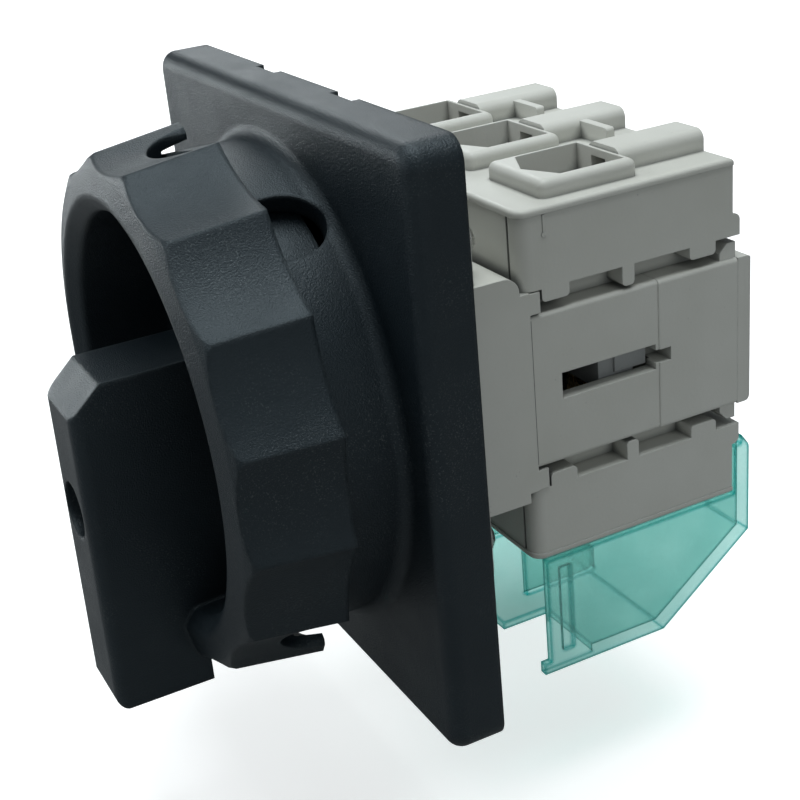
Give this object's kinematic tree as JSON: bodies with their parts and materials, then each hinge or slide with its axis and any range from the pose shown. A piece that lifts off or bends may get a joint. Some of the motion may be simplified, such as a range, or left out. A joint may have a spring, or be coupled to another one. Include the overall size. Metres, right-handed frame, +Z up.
{
  "type": "rotary main switch",
  "caption": "Panel-mounted rotary main switch: square black plate, fluted padlockable handle, grey switch body with upper and lower terminal blocks and a clear teal cover.",
  "frame": {"origin": "the shaft axis where it crosses the back plane of the front plate, which lies on the panel", "axes": "+Y backwards through the panel along the shaft, +X to the right seen from the handle, +Z up"},
  "size_m": [0.067, 0.0778, 0.0699],
  "materials": {
    "black_plastic": "fine-grained satin, almost black",
    "dark_plastic": "satin dark grey",
    "light_grey_plastic": "fine satin light grey",
    "carrier_plastic": "satin mid grey",
    "seal_rubber": "matt",
    "zinc_steel": "zinc plated",
    "contact_brass": "bright",
    "teal_clear_plastic": "clear teal tint"
  },
  "bodies": {
    "switch": {"masking_plate": "black_plastic", "fixing_plate": "dark_plastic", "fixing_screws": "zinc_steel", "panel_gasket": "seal_rubber", "shaft_seal": "seal_rubber", "front_housing": "light_grey_plastic", "detent_springs": "zinc_steel", "middle_housing": "light_grey_plastic", "rear_housing": "light_grey_plastic", "rear_cover": "light_grey_plastic", "upper_terminal_block": "light_grey_plastic", "upper_contact_left": "contact_brass", "upper_contact_middle": "contact_brass", "upper_contact_right": "contact_brass", "upper_terminal_clamps": "zinc_steel", "upper_terminal_screws": "zinc_steel", "lower_terminal_block": "light_grey_plastic", "lower_contact_left": "contact_brass", "lower_contact_middle": "contact_brass", "lower_contact_right": "contact_brass", "lower_terminal_clamps": "zinc_steel", "lower_terminal_screws": "zinc_steel"},
    "handle": {"handle_knob": "black_plastic", "handle_screw": "zinc_steel", "handle_hub": "dark_plastic", "hub_circlip": "zinc_steel", "drive_shaft": "zinc_steel", "rotor_cam": "carrier_plastic"},
    "carrier": {"contact_carrier": "carrier_plastic", "bridge_contact_left": "contact_brass", "bridge_contact_middle": "contact_brass", "bridge_contact_right": "contact_brass", "contact_spring_left": "zinc_steel", "contact_spring_middle": "zinc_steel", "contact_spring_right": "zinc_steel"},
    "cover": {"terminal_cover": "teal_clear_plastic"}
  },
  "joints": [
    {"name": "handle_turn", "type": "hinge", "parent": "switch", "child": "handle", "pos_m": [0, 0, 0], "axis": [0, 1, 0], "range_deg": [0, 90]},
    {"name": "carrier_slide", "type": "slide", "parent": "switch", "child": "carrier", "axis": [0, -1, 0], "range_m": [0, 0.0045]},
    {"name": "cover_slide", "type": "slide", "parent": "switch", "child": "cover", "axis": [0, 0, -1], "range_m": [0, 0.016]}
  ],
  "couplings": [
    {"joint": "carrier_slide", "follows": "handle_turn", "m_per_rad": 0.0028648}
  ]
}
